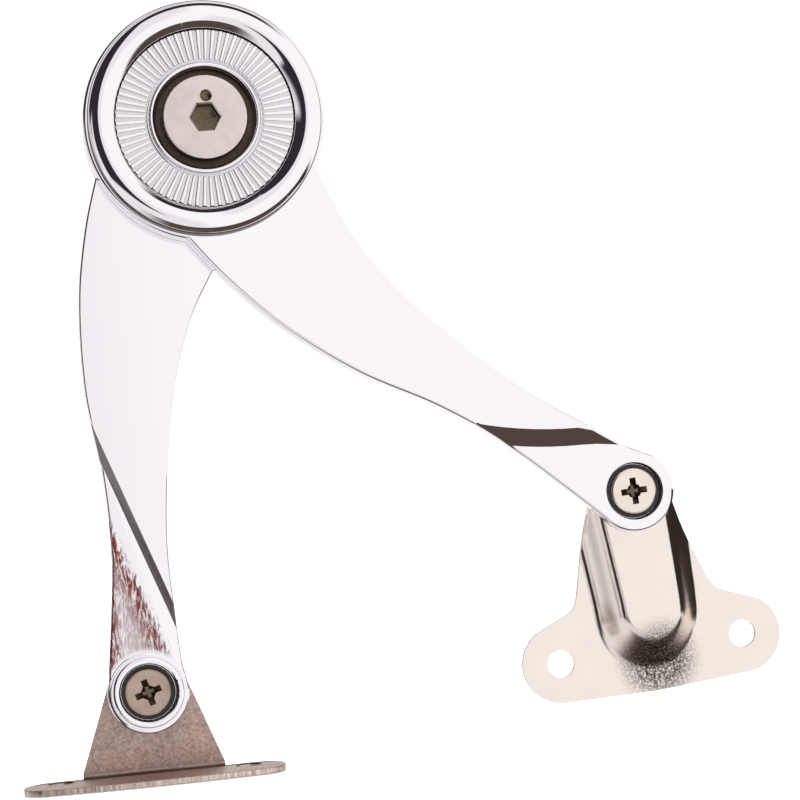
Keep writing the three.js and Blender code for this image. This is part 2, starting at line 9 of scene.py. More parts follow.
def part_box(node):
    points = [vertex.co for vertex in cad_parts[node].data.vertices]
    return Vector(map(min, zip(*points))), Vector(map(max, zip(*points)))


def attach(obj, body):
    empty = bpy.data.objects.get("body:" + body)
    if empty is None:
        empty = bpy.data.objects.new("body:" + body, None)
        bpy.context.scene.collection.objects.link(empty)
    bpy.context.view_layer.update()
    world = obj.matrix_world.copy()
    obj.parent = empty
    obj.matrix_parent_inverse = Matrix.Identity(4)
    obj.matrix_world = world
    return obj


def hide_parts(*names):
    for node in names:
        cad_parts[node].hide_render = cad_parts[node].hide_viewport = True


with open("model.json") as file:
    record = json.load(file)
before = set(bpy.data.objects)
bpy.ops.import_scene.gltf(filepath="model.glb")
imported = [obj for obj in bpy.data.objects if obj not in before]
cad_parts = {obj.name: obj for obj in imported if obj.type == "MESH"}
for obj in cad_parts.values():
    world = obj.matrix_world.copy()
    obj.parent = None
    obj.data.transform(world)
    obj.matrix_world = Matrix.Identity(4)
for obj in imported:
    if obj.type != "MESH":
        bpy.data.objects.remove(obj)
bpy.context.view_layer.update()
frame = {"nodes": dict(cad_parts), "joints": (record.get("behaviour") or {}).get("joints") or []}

# ------------------------------------------------------------------ sizes, in millimetres
# Every piece is shaped in the face frame: x to the right, y up, z towards the dial,
# with z = 0 where the two arms meet.

MM = 0.001
ARM_LENGTH = 98.0
HEAD_RADIUS = 20.6
BOSS_RADIUS = 7.0
UPPER_BACK = 0.1
UPPER_FACE = 5.6
UPPER_END = 3.4
LOWER_BACK = -5.1
LOWER_FACE = -0.1
LOWER_END = -1.8

# Each arm's slanted step: where it starts, its length, its slant in degrees, its width and its bow.
UPPER_STEP = ((68.9, -9.4), 20.5, 39.0, 3.0, 0.75)
LOWER_STEP = ((53.0, -14.2), 34.4, 30.0, 1.3, 0.0)

RECESS_RADIUS = 4.95
RECESS_DEPTH = 1.6
RECESS_CORNER = 0.2
BOSS_BORE = 3.65
SCREW_SEAT = 0.4

SHEET = 1.1
PLATE_PLANE = -7.0
FLANGE_SHIFT = 0.75
NECK_Y = -19.3
LOBE_X = 16.65
LOBE_Y = -28.4
LOBE_RADIUS = 6.9
SHANK_HOLE = 1.78

joints = {joint["name"]: joint for joint in frame["joints"]}
hub = Vector(joints["hub"]["pos_m"]) / MM
flap_pivot = Vector(joints["flap_pivot"]["pos_m"]) / MM
cabinet_pivot = Vector(joints["cabinet_pivot"]["pos_m"]) / MM
arms_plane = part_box("cabinet_bracket")[1].y / MM + PLATE_PLANE

TO_ROW = (
    Matrix.Scale(MM, 4)
    @ Matrix.Translation((0, arms_plane, 0))
    @ Matrix.Rotation(math.radians(90), 4, "X")
)


def standing_at(point, turn=0.0):
    """The place of a piece whose own origin is on this joint's axis."""
    return TO_ROW @ Matrix.Translation((point.x, point.z, 0)) @ Matrix.Rotation(turn, 4, "Z")


lower_turn = math.atan2(flap_pivot.z - hub.z, flap_pivot.x - hub.x)
upper_turn = math.atan2(cabinet_pivot.z - hub.z, cabinet_pivot.x - hub.x)
cabinet_turn = math.radians(4.0)

AT_HUB = standing_at(hub)
LOWER = standing_at(hub, lower_turn)
UPPER = standing_at(hub, upper_turn)
FLAP = standing_at(flap_pivot)
CABINET = standing_at(cabinet_pivot, cabinet_turn)

# ------------------------------------------------------------------ outlines


def arc(cx, cy, radius, start, end, count, height=None):
    """Points on a round or oval stretch, ends included, angles in degrees."""
    angles = [math.radians(start + (end - start) * i / count) for i in range(count + 1)]
    return [(cx + radius * math.cos(a), cy + (height or radius) * math.sin(a)) for a in angles]


def polygon(flats, sides, turn=0.0):
    corner = flats / 2 / math.cos(math.pi / sides)
    return arc(0, 0, corner, turn, turn + 360, sides)[:-1]


def curve_through(points, count):
    """A smooth stretch through a few chosen points."""
    last = len(points) - 1
    found = []
    for i in range(count + 1):
        t = last * i / count
        k = min(int(t), last - 1)
        w = t - k
        p = [Vector(points[min(max(k + step, 0), last)]) for step in (-1, 0, 1, 2)]
        v0 = (p[2] - p[0]) / 2
        v1 = (p[3] - p[1]) / 2
        a = 2 * p[1] - 2 * p[2] + v0 + v1
        b = -3 * p[1] + 3 * p[2] - 2 * v0 - v1
        found.append(tuple(a * w**3 + b * w**2 + v0 * w + p[1]))
    return found


# ------------------------------------------------------------------ solids


def ngon(points, z):
    bm = bmesh.new()
    bm.faces.new([bm.verts.new((x, y, z)) for x, y in points])
    return bm


def walled(bm, back):
    """Gives a sheet of faces its side walls and a flat back, and returns its front rim."""
    rim = [edge for edge in bm.edges if edge.is_boundary]
    grown = bmesh.ops.extrude_edge_only(bm, edges=rim)["geom"]
    for vert in grown:
        if isinstance(vert, bmesh.types.BMVert):
            vert.co.z = back
    bmesh.ops.holes_fill(bm, edges=[e for e in bm.edges if e.is_boundary], sides=0)
    bmesh.ops.recalc_face_normals(bm, faces=bm.faces)
    return rim


def rounded(bm, edges, radius, segments, clamped=True):
    bmesh.ops.bevel(
        bm,
        geom=edges,
        affect="EDGES",
        offset=radius,
        offset_type="OFFSET",
        segments=segments,
        profile=0.5,
        material=-1,
        clamp_overlap=clamped,
    )


def prism(points, z0, z1, rim=0.0, segments=3):
    bm = ngon(points, z1)
    edges = walled(bm, z0)
    if rim:
        rounded(bm, edges, rim, segments)
    return bm


def spun(profile, steps):
    """A profile of (radius, level) points turned about the z axis."""
    bm = bmesh.new()
    verts = [bm.verts.new((r, 0, z)) for r, z in profile]
    edges = [bm.edges.new(pair) for pair in zip(verts, verts[1:] + verts[:1])]
    if profile[0][0] == 0 and profile[-1][0] == 0:
        bm.edges.remove(edges.pop())
    bmesh.ops.spin(
        bm,
        geom=verts + edges,
        cent=(0, 0, 0),
        axis=(0, 0, 1),
        angle=2 * math.pi,
        steps=steps,
        use_merge=True,
        use_duplicate=False,
    )
    bmesh.ops.remove_doubles(bm, verts=bm.verts, dist=1e-5)
    bmesh.ops.recalc_face_normals(bm, faces=bm.faces)
    return bm


def disc(radius, z0, z1, steps=48):
    return spun([(0, z0), (radius, z0), (radius, z1), (0, z1)], steps)


def moved(bm, matrix):
    bmesh.ops.transform(bm, matrix=matrix, verts=bm.verts)
    return bm


def thing(name, bm):
    mesh = bpy.data.meshes.new(name)
    bm.to_mesh(mesh)
    bm.free()
    made = bpy.data.objects.new(name, mesh)
    bpy.context.scene.collection.objects.link(made)
    return made


def settled(made):
    """Makes the modifiers' result the piece's own mesh."""
    bpy.context.view_layer.update()
    shown = made.evaluated_get(bpy.context.evaluated_depsgraph_get())
    mesh = bpy.data.meshes.new_from_object(shown)
    made.modifiers.clear()
    made.data = mesh


def worked(made, operation, *tools):
    """Joins, cuts or trims a piece with tool shapes, which are then thrown away."""
    shapes = [thing("tool", bm) for bm in tools]
    for shape in shapes:
        step = made.modifiers.new("work", "BOOLEAN")
        step.operation = operation
        step.solver = "EXACT"
        step.object = shape
    settled(made)
    for shape in shapes:
        bpy.data.objects.remove(shape)


def finished(made, place, body, replaced, finishes, zones=None, crease=32.0):
    """Puts a piece in its place, with smooth shading broken only at real edges."""
    mesh = made.data
    mesh.transform(place)
    mesh.materials.clear()
    for finish in finishes:
        mesh.materials.append(finish)
    if zones:
        mesh.polygons.foreach_set("material_index", zones)
    mesh.shade_smooth()
    mesh.set_sharp_from_angle(angle=math.radians(crease))
    normals = made.modifiers.new("even", "WEIGHTED_NORMAL")
    normals.keep_sharp = True
    normals.weight = 90
    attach(made, body)
    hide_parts(*replaced)
    return made


# ------------------------------------------------------------------ finishes
# Sizes in millimetres. The stretched patch, whose dark specks are also a painted dark reflection, is placed
# from the cabinet pivot, and the fold with its painted shade from the mount.

RING_PITCH = 3.14
RINGS_PER_SCALE = 20 / math.tau
STRETCH_SHADE_X = 3.6
STRETCH_SHADE_Y = -30.2
STRETCH_SHADE_REACH = 8.8
FOLD_DEPTH = 4.4


def rgba(code):
    """An sRGB hex colour as linear light."""
    parts = [int(code[i : i + 2], 16) / 255 for i in (1, 3, 5)]
    return [p / 12.92 if p <= 0.04045 else ((p + 0.055) / 1.055) ** 2.4 for p in parts] + [1]


def add(tree, kind, inputs=None, **settings):
    """One node with its settings, and its inputs set or linked."""
    node = tree.nodes.new(kind)
    for key, value in settings.items():
        setattr(node, key, value)
    for key, value in (inputs or {}).items():
        if isinstance(value, bpy.types.NodeSocket):
            tree.links.new(value, node.inputs[key])
        else:
            node.inputs[key].default_value = value
    return node


def blank(name):
    made = bpy.data.materials.new(name)
    made.use_nodes = True
    made.node_tree.nodes.clear()
    return made, made.node_tree


def surfaced(tree, colour, roughness, height=None, depth=0.0, metallic=1.0, **more):
    """Ends a material: a metal or plastic surface with an optional relief whose depth is in metres."""
    inputs = {"Base Color": colour, "Roughness": roughness, "Metallic": metallic, **more}
    if height is not None:
        bump = add(tree, "ShaderNodeBump", {"Height": height, "Distance": depth, "Strength": 1.0})
        inputs["Normal"] = bump.outputs[0]
    shader = add(tree, "ShaderNodeBsdfPrincipled", inputs)
    add(tree, "ShaderNodeOutputMaterial", {"Surface": shader.outputs[0]})


def per(length_mm):
    """Noise scale for features of this length, on coordinates in metres."""
    return 1 / (length_mm * MM)


def product(tree, *values):
    """1 only where every one of the values is 1."""
    total = values[0]
    for value in values[1:]:
        total = add(tree, "ShaderNodeMath", {0: total, 1: value}, operation="MULTIPLY").outputs[0]
    return total


def polished_chrome():
    # Bright chrome over buffed zinc: almost a mirror, with faint hairlines that all run one way.
    made, tree = blank("chrome_plate_buffed")
    place = add(tree, "ShaderNodeTexCoord").outputs["Object"]
    swell = add(
        tree, "ShaderNodeTexNoise", {"Vector": place, "Scale": per(14), "Detail": 1.0, "Roughness": 0.4}
    )
    along = add(
        tree,
        "ShaderNodeMapping",
        {"Vector": place, "Rotation": (0, math.radians(-8), 0), "Scale": (1, 1, 0.06)},
    )
    hair = add(
        tree, "ShaderNodeTexNoise", {"Vector": along.outputs[0], "Scale": per(0.35), "Detail": 3.0}
    )
    dull = add(
        tree,
        "ShaderNodeMapRange",
        {"Value": hair.outputs[0], "From Min": 0.35, "From Max": 0.75, "To Min": 0.035, "To Max": 0.085},
    )
    mixed = add(
        tree,
        "ShaderNodeMath",
        {0: hair.outputs[0], 1: 0.012, 2: swell.outputs[0]},
        operation="MULTIPLY_ADD",
    )
    surfaced(tree, rgba("#F9F5F9"), dull.outputs[0], mixed.outputs[0], 0.01 * MM)
    return made


def rubbed_chrome(step_point, step_normal, pivot):
    # Thin chrome at the arm's end, buffed by hand: wavy streaks, with the copper flash showing through.
    made, tree = blank("chrome_plate_rubbed_thin")
    place = add(tree, "ShaderNodeTexCoord").outputs["Object"]
    along = add(
        tree,
        "ShaderNodeMapping",
        {"Vector": place, "Rotation": (0, math.radians(-8), 0), "Scale": (1, 1, 0.2)},
    )
    streak = add(
        tree,
        "ShaderNodeTexNoise",
        {"Vector": along.outputs[0], "Scale": per(0.55), "Detail": 3.0, "Roughness": 0.55, "Distortion": 1.6},
    ).outputs[0]
    reach = add(tree, "ShaderNodeVectorMath", {0: place, 1: step_normal}, operation="DOT_PRODUCT")
    past = add(tree, "ShaderNodeMath", {0: reach.outputs["Value"], 1: -step_point.dot(step_normal)})
    frayed = add(
        tree,
        "ShaderNodeMath",
        {0: streak, 1: 4 * MM, 2: past.outputs[0]},
        operation="MULTIPLY_ADD",
    )
    across = add(tree, "ShaderNodeSeparateXYZ", {"Vector": place})
    off = add(tree, "ShaderNodeVectorMath", {0: place, 1: pivot}, operation="DISTANCE")

    # Where each share of the rubbing starts and is full, in millimetres: past the step, in the band
    # next to it, towards the left edge, and clear of the pivot screw.
    beside, band, left, clear = [
        add(
            tree,
            "ShaderNodeMapRange",
            {"Value": value, "From Min": start * MM, "From Max": full * MM},
            interpolation_type="SMOOTHSTEP",
        ).outputs[0]
        for value, start, full in (
            (frayed.outputs[0], 5.8, 7.4),
            (frayed.outputs[0], 10.8, 7.8),
            (across.outputs[0], -3.2, -5.0),
            (off.outputs["Value"], 6.8, 7.8),
        )
    ]
    strong = add(tree, "ShaderNodeMath", {0: band, 1: left}, operation="MAXIMUM")
    amount = add(tree, "ShaderNodeMath", {0: strong.outputs[0], 1: 0.5, 2: 0.5}, operation="MULTIPLY_ADD")
    zone = product(tree, beside, clear, amount.outputs[0])
    worn = add(
        tree,
        "ShaderNodeMapRange",
        {"Value": streak, "From Min": 0.38, "From Max": 0.56, "To Min": 0.12, "To Max": 1.0},
    )
    share = product(tree, zone, worn.outputs[0])
    tint = add(
        tree, "ShaderNodeMix", {0: share, 6: rgba("#F9F5F9"), 7: rgba("#84423C")}, data_type="RGBA"
    )
    dull = add(tree, "ShaderNodeMapRange", {"Value": zone, "To Min": 0.06, "To Max": 0.2})
    surfaced(tree, tint.outputs[2], dull.outputs[0], product(tree, streak, zone), 0.07 * MM)
    return made


def faced_nickel(name, colour, roughness, centre):
    # A screw face turned on a lathe and plated dull: faint rings about its own axis, with a soft bloom.
    # The lathe's rings are far finer on the real face, and are drawn coarse so that they show.
    made, tree = blank(name)
    place = add(tree, "ShaderNodeTexCoord").outputs["Object"]
    centred = add(tree, "ShaderNodeMapping", {"Vector": place, "Location": [-c * MM for c in centre]})
    rings = add(
        tree,
        "ShaderNodeTexWave",
        {
            "Vector": centred.outputs[0],
            "Scale": per(RING_PITCH) / RINGS_PER_SCALE,
            "Distortion": 0.6,
            "Detail": 2.0,
        },
        wave_type="RINGS",
        rings_direction="Y",
    )
    cloud = add(
        tree, "ShaderNodeTexNoise", {"Vector": place, "Scale": per(2.2), "Detail": 4.0, "Roughness": 0.6}
    )
    tint = add(
        tree,
        "ShaderNodeMix",
        {0: cloud.outputs[0], 6: rgba(colour[0]), 7: rgba(colour[1])},
        data_type="RGBA",
    )
    dull = add(
        tree,
        "ShaderNodeMapRange",
        {
            "Value": cloud.outputs[0],
            "From Min": 0.3,
            "From Max": 0.7,
            "To Min": roughness * 0.85,
            "To Max": roughness * 1.15,
        },
    )
    surfaced(tree, tint.outputs[2], dull.outputs[0], rings.outputs[0], 0.004 * MM)
    return made


def pressed_nickel():
    # Bright nickel over pressed sheet: clear on the flats, coarse and dark where the steel was stretched; the
    # dark specks are partly the coarse plating and partly a painted dark reflection on the boss's lower
    # flank.
    made, tree = blank("nickel_plate_pressed")
    place = add(tree, "ShaderNodeTexCoord").outputs["Object"]
    grain = add(
        tree, "ShaderNodeTexNoise", {"Vector": place, "Scale": per(0.32), "Detail": 4.0, "Roughness": 0.7}
    )
    cloud = add(
        tree, "ShaderNodeTexNoise", {"Vector": place, "Scale": per(5), "Detail": 2.0, "Roughness": 0.5}
    )
    flattened = add(tree, "ShaderNodeMapping", {"Vector": place, "Scale": (1, 0, 1)})
    bend = ((cabinet_pivot.x + STRETCH_SHADE_X) * MM, 0, (cabinet_pivot.z + STRETCH_SHADE_Y) * MM)
    off = add(tree, "ShaderNodeVectorMath", {0: flattened.outputs[0], 1: bend}, operation="DISTANCE")
    drawn_and_shaded = add(
        tree,
        "ShaderNodeMapRange",
        {"Value": off.outputs["Value"], "From Min": STRETCH_SHADE_REACH * MM, "From Max": 3.0 * MM},
        interpolation_type="SMOOTHSTEP",
    )
    speck = add(tree, "ShaderNodeMapRange", {"Value": grain.outputs[0], "From Min": 0.38, "From Max": 0.54})
    share = product(tree, drawn_and_shaded.outputs[0], speck.outputs[0])
    clean = add(
        tree,
        "ShaderNodeMix",
        {0: cloud.outputs[0], 6: rgba("#F9EFE6"), 7: rgba("#F0E5DE")},
        data_type="RGBA",
    )
    # Dark specks: rough plating and painted dark reflection together.
    tint = add(
        tree, "ShaderNodeMix", {0: share, 6: clean.outputs[2], 7: rgba("#43342D")}, data_type="RGBA"
    )
    dull = add(tree, "ShaderNodeMapRange", {"Value": drawn_and_shaded.outputs[0], "To Min": 0.16, "To Max": 0.34})
    surfaced(tree, tint.outputs[2], dull.outputs[0], grain.outputs[0], 0.012 * MM)
    return made


def satin_nickel():
    # Satin nickel over unpolished sheet: a tight, even grain like fine orange peel, with painted shade
    # darkening it along the fold.
    made, tree = blank("nickel_plate_satin")
    place = add(tree, "ShaderNodeTexCoord").outputs["Object"]
    grain = add(
        tree, "ShaderNodeTexNoise", {"Vector": place, "Scale": per(0.5), "Detail": 5.0, "Roughness": 0.7}
    )
    fleck = add(tree, "ShaderNodeMapRange", {"Value": grain.outputs[0], "From Min": 0.3, "From Max": 0.7})
    cloud = add(
        tree, "ShaderNodeTexNoise", {"Vector": place, "Scale": per(6), "Detail": 3.0, "Roughness": 0.55}
    )
    tint = add(
        tree,
        "ShaderNodeMix",
        {0: fleck.outputs[0], 6: rgba("#9A7F76"), 7: rgba("#DCC4BB")},
        data_type="RGBA",
    )
    dull = add(
        tree,
        "ShaderNodeMapRange",
        {"Value": cloud.outputs[0], "From Min": 0.3, "From Max": 0.7, "To Min": 0.36, "To Max": 0.5},
    )
    flattened = add(tree, "ShaderNodeMapping", {"Vector": place, "Scale": (0, 1, 1)})
    # Painted shade: the colour darkens towards the fold's crease.
    fold = (0, FOLD_DEPTH * MM, SHEET * MM)
    off = add(tree, "ShaderNodeVectorMath", {0: flattened.outputs[0], 1: fold}, operation="DISTANCE")
    fold_shade_mask = add(
        tree,
        "ShaderNodeMapRange",
        {"Value": off.outputs["Value"], "From Min": 1.9 * MM, "From Max": 0.7 * MM},
        interpolation_type="SMOOTHSTEP",
    )
    fold_shaded_tint = add(
        tree,
        "ShaderNodeMix",
        {0: fold_shade_mask.outputs[0], 6: tint.outputs[2], 7: rgba("#6A584E")},
        data_type="RGBA",
    )
    surfaced(tree, fold_shaded_tint.outputs[2], dull.outputs[0], grain.outputs[0], 0.03 * MM)
    return made


def sheared_edge(name, light, dark):
    # The cut edge of plated sheet: fine upright score lines from the punch, drawn coarse so that they show.
    made, tree = blank(name)
    place = add(tree, "ShaderNodeTexCoord").outputs["Object"]
    upright = add(tree, "ShaderNodeMapping", {"Vector": place, "Scale": (1, 1, 0.1)})
    score = add(
        tree,
        "ShaderNodeTexNoise",
        {"Vector": upright.outputs[0], "Scale": per(0.4), "Detail": 4.0, "Roughness": 0.7},
    )
    sharp = add(tree, "ShaderNodeMapRange", {"Value": score.outputs[0], "From Min": 0.4, "From Max": 0.62})
    tint = add(
        tree, "ShaderNodeMix", {0: sharp.outputs[0], 6: rgba(dark), 7: rgba(light)}, data_type="RGBA"
    )
    surfaced(tree, tint.outputs[2], 0.4, score.outputs[0], 0.06 * MM)
    return made


def plain_metal(name, dark, light, roughness, grain_mm):
    # One even colour with a fine grain: steel inside the hub, plating that the buff doesn't reach, and dark
    # finishes that are painted shade in gaps, sockets and on the lower arm's step.
    made, tree = blank(name)
    place = add(tree, "ShaderNodeTexCoord").outputs["Object"]
    grain = add(
        tree, "ShaderNodeTexNoise", {"Vector": place, "Scale": per(grain_mm), "Detail": 3.0}
    )
    tint = add(
        tree, "ShaderNodeMix", {0: grain.outputs[0], 6: rgba(dark), 7: rgba(light)}, data_type="RGBA"
    )
    surfaced(tree, tint.outputs[2], roughness, grain.outputs[0], 0.01 * MM)
    return made


def plain_plastic(name, dark, light, roughness, grain_mm, index):
    # Moulded or resin-bonded: dull, with a fine mottle and no metal in it.
    made, tree = blank(name)
    place = add(tree, "ShaderNodeTexCoord").outputs["Object"]
    grain = add(
        tree, "ShaderNodeTexNoise", {"Vector": place, "Scale": per(grain_mm), "Detail": 4.0}
    )
    tint = add(
        tree, "ShaderNodeMix", {0: grain.outputs[0], 6: rgba(dark), 7: rgba(light)}, data_type="RGBA"
    )
    surfaced(
        tree, tint.outputs[2], roughness, grain.outputs[0], 0.02 * MM, metallic=0.0, IOR=index
    )
    return made


step_way = math.radians(LOWER_STEP[2])
across_step = Vector((math.sin(step_way), -math.cos(step_way), 0))
step_normal = (LOWER.to_3x3() @ across_step).normalized()
chrome = polished_chrome()
thin_chrome = rubbed_chrome(
    LOWER @ Vector((*LOWER_STEP[0], 0)), step_normal, LOWER @ Vector((ARM_LENGTH, 0, LOWER_END))
)
# The lower arm's step is coloured dark grey: painted shade standing in for the dark reflection on the step.
step_chrome = plain_metal("chrome_plate_step_painted_shade", "#6C6568", "#8F888B", 0.22, 0.4)
groove_chrome = plain_metal("chrome_plate_unbuffed_groove", "#D6D4D6", "#E4E2E4", 0.12, 0.4)
# Dark steel in the gaps at the dial's foot and groove, inside the collar and on the thrust washer: painted
# shade.
gap_shade_metal = plain_metal("steel_painted_shade_in_gap", "#352C28", "#5E5048", 0.38, 0.5)
# Dark nickel inside the screw's socket, its dimple and the drivers' crosses: painted shade.
socket_shade_nickel = plain_metal("nickel_plate_painted_shade_in_socket", "#5E5148", "#80725F", 0.35, 0.5)
screw_face = faced_nickel(
    "nickel_plate_faced", ("#EFE3E0", "#E0D3D0"), 0.36, (hub.x, 0, hub.z)
)
cabinet_screw_nickel = faced_nickel(
    "nickel_plate_screw_bright", ("#FBF0E7", "#F0E3D8"), 0.3, (cabinet_pivot.x, 0, cabinet_pivot.z)
)
flap_screw_nickel = faced_nickel(
    "nickel_plate_screw_worn", ("#D2B9AC", "#A68F82"), 0.34, (flap_pivot.x, 0, flap_pivot.z)
)
bright_sheet = pressed_nickel()
satin_sheet = satin_nickel()
satin_edge = sheared_edge("nickel_plate_sheared_satin", "#F4E7DE", "#B49F92")
bright_edge = sheared_edge("nickel_plate_sheared_bright", "#EEE3D8", "#B8A99C")
spring_steel = plain_metal("spring_steel_oiled", "#4E5054", "#7A7C80", 0.32, 0.6)
plate_steel = plain_metal("steel_plate_blanked", "#7E8085", "#A6A8AC", 0.38, 0.8)
lining = plain_plastic("friction_lining_resin_bonded", "#3A2D25", "#5C4A3D", 0.85, 0.5, 1.5)
# The bushes' acetal is made near black to stand in for the shade in the recesses round the pivot screws:
# painted shade.
acetal = plain_plastic("acetal_dark_painted_shade", "#171413", "#241F1D", 0.4, 1.2, 1.48)

# ------------------------------------------------------------------ arms

STEP_CUTS = 7
CROWDED = 0.5
NEAR = 1e-3
UPPER_RIM = 0.6
LOWER_RIM = 0.4
BOWED = [(11, -17.45), (20.5, -18.4), (33, -18.2), (48, -15.7), (62, -11.3), (76, -8.4), (90, -7.3)]
HOLLOW = [(92.5, 5.3), (84, 3.2), (72, 0.7), (58, -0.5), (45, -0.5), (34, 1.0), (26, 3.7), (19.6, 6.4)]


def arm_outline():
    return (
        arc(0, 0, HEAD_RADIUS, 18.1, 302.2, 130)
        + curve_through(BOWED, 48)[1:]
        + arc(ARM_LENGTH, 0, BOSS_RADIUS, -97, 103, 44)
        + curve_through(HOLLOW, 48)[:-1]
    )


def arm_block(start, length, degrees, width, bulge, back, face, end, rim_radius):
    """An arm's solid with its slanted step. The step's two edges may bow towards the arm's end."""
    bm = ngon(arm_outline(), face)
    start = Vector((*start, 0))
    along = Vector((math.cos(math.radians(degrees)), math.sin(math.radians(degrees)), 0))
    outward = Vector((along.y, -along.x, 0))

    def bow(vert):
        t = (Vector((vert.co.x, vert.co.y, 0)) - start).dot(along) / length
        return outward * bulge * 4 * t * (1 - t) if 0 < t < 1 else Vector()

    for vert in bm.verts:
        vert.co -= bow(vert)
    for shift in (0, width):
        plane = start + outward * shift
        bmesh.ops.bisect_plane(
            bm, geom=bm.verts[:] + bm.edges[:] + bm.faces[:], plane_co=plane, plane_no=outward
        )

    def beyond(vert):
        return (Vector((vert.co.x, vert.co.y, 0)) - start).dot(outward)

    for shift in (0, width):
        edge = next(
            e
            for e in bm.edges
            if all(abs(beyond(v) - shift) < NEAR for v in e.verts) and len(e.link_faces) == 2
        )
        bmesh.ops.subdivide_edges(bm, edges=[edge], cuts=STEP_CUTS)
    lines = []
    for shift in (0, width):
        inside = [v for v in bm.verts if abs(beyond(v) - shift) < NEAR and len(v.link_edges) == 2]
        inside = [v for v in inside if all(len(e.link_faces) == 2 for e in v.link_edges)]
        lines.append(sorted(inside, key=lambda v: v.co.dot(along)))
    levels = {v: beyond(v) for v in bm.verts}
    for vert, reach in levels.items():
        share = min(max(reach / width, 0), 1)
        vert.co += bow(vert)
        vert.co.z = face + (end - face) * share
    for upper, lower in zip(*lines):
        shared = set(upper.link_faces) & set(lower.link_faces)
        bmesh.utils.face_split(shared.pop(), upper, lower)

    def beside_step(vert, edge):
        return len(edge.other_vert(vert).link_edges) > 2 and edge.calc_length() < CROWDED

    plain = [vert for vert in bm.verts if len(vert.link_edges) == 2]
    crowded = [vert for vert in plain if any(beside_step(vert, edge) for edge in vert.link_edges)]
    bmesh.ops.dissolve_verts(bm, verts=crowded)
    rim = walled(bm, back)
    rounded(bm, rim, rim_radius, 4, clamped=False)
    return bm


def at_end(bm):
    return moved(bm, Matrix.Translation((ARM_LENGTH, 0, 0)))


def recess_tool(end, floor, back, lip):
    """Counterbore with a softened lip, and the bore under it."""
    return at_end(
        spun(
            [
                (0, back - 1),
                (BOSS_BORE, back - 1),
                (BOSS_BORE, floor),
                (RECESS_RADIUS - RECESS_CORNER, floor),
                (RECESS_RADIUS, floor + RECESS_CORNER),
                (RECESS_RADIUS, end - lip),
                (RECESS_RADIUS + lip * 0.3, end - lip * 0.3),
                (RECESS_RADIUS + lip, end),
                (RECESS_RADIUS + lip, end + 2),
                (0, end + 2),
            ],
            72,
        )
    )


# The upper arm's skirt and keyways, and the slot in which the stop pin travels.
SKIRT_INNER = 13.7
SKIRT_OUTER = 16.3
SKIRT_END = -2.7
POCKET_FLOOR = 3.9
SHANK_BORE = 4.3
KEY_COUNT = 4
KEY_INNER = 12.5
KEY_OUTER = 15.1
KEY_HALF = 1.5
SLOT_FROM = 90
SLOT_TO = 220
SLOT_FLOOR = -1.85
PIN_SHARE = math.degrees(1.3 / 15)

upper = thing("upper_arm_casting", arm_block(*UPPER_STEP, UPPER_BACK, UPPER_FACE, UPPER_END, UPPER_RIM))
skirt = [(SKIRT_INNER - 1, SKIRT_END), (SKIRT_OUTER, SKIRT_END), (SKIRT_OUTER, 1.5), (SKIRT_INNER - 1, 1.5)]
worked(upper, "UNION", spun(skirt, 96))
key_outline = [(KEY_INNER, -KEY_HALF), (KEY_OUTER, -KEY_HALF), (KEY_OUTER, KEY_HALF), (KEY_INNER, KEY_HALF)]
keyways = []
for turn in range(KEY_COUNT):
    key = prism(key_outline, -4, POCKET_FLOOR)
    keyways.append(moved(key, Matrix.Rotation(math.radians(turn * 360 / KEY_COUNT), 4, "Z")))
notch = prism(
    arc(0, 0, SKIRT_INNER - 0.6, SLOT_FROM - PIN_SHARE, SLOT_TO + PIN_SHARE, 30)
    + arc(0, 0, SKIRT_OUTER + 0.6, SLOT_TO + PIN_SHARE, SLOT_FROM - PIN_SHARE, 30),
    -4,
    SLOT_FLOOR,
)
worked(
    upper,
    "DIFFERENCE",
    disc(SKIRT_INNER, -4, POCKET_FLOOR, 96),
    disc(SHANK_BORE, 3, 7),
    *keyways,
    notch,
    recess_tool(UPPER_END, UPPER_END - RECESS_DEPTH, UPPER_BACK, 0.2),
)
finished(upper, UPPER, "upper_arm", ["upper_arm"], [chrome])

# The lower arm's raised ring about its pivot, and the pocket for the friction pack.
RAISED = 0.4
PACK_POCKET = 16.4
PACK_FLOOR = -3.1
NUT_FLATS = 11.2

lower = thing("lower_arm_casting", arm_block(*LOWER_STEP, LOWER_BACK, LOWER_FACE, LOWER_END, LOWER_RIM))
raised_ring = [
    (0, LOWER_END - 0.6),
    (6.85, LOWER_END - 0.6),
    (6.85, LOWER_END + 0.05),
    (6.75, LOWER_END + 0.2),
    (6.45, LOWER_END + 0.25),
    (6.3, LOWER_END + 0.08),
    (6.15, LOWER_END + 0.08),
    (6.0, LOWER_END + RAISED - 0.1),
    (5.8, LOWER_END + RAISED),
    (0, LOWER_END + RAISED),
]
worked(lower, "UNION", at_end(spun(raised_ring, 72)))
worked(
    lower,
    "DIFFERENCE",
    disc(PACK_POCKET, PACK_FLOOR, 2, 96),
    prism(polygon(NUT_FLATS, 6), -7, -2),
    disc(8.1, -7, -3.9),
    disc(11.1, -7, -4.7, 72),
    recess_tool(LOWER_END + RAISED, LOWER_END - RECESS_DEPTH, LOWER_BACK, 0.3),
)


def lower_zone(face):
    """0 is the buffed metal, 1 the rubbed end past the step, and 2 the step itself, coloured dark as painted
    shade.
    """
    past = (face.center - Vector((*LOWER_STEP[0], 0))).dot(across_step)
    sloping = 0.2 < abs(face.normal.z) < 0.95 and face.center.x > LOWER_STEP[0][0]
    if sloping and 0.02 < past < LOWER_STEP[3] - 0.02:
        return 2
    return int(past > LOWER_STEP[3] and face.center.z > LOWER_BACK + 0.5)


places = [lower_zone(face) for face in lower.data.polygons]
finished(
    lower, LOWER, "lower_arm", ["lower_arm"], [chrome, thin_chrome, step_chrome], places
)

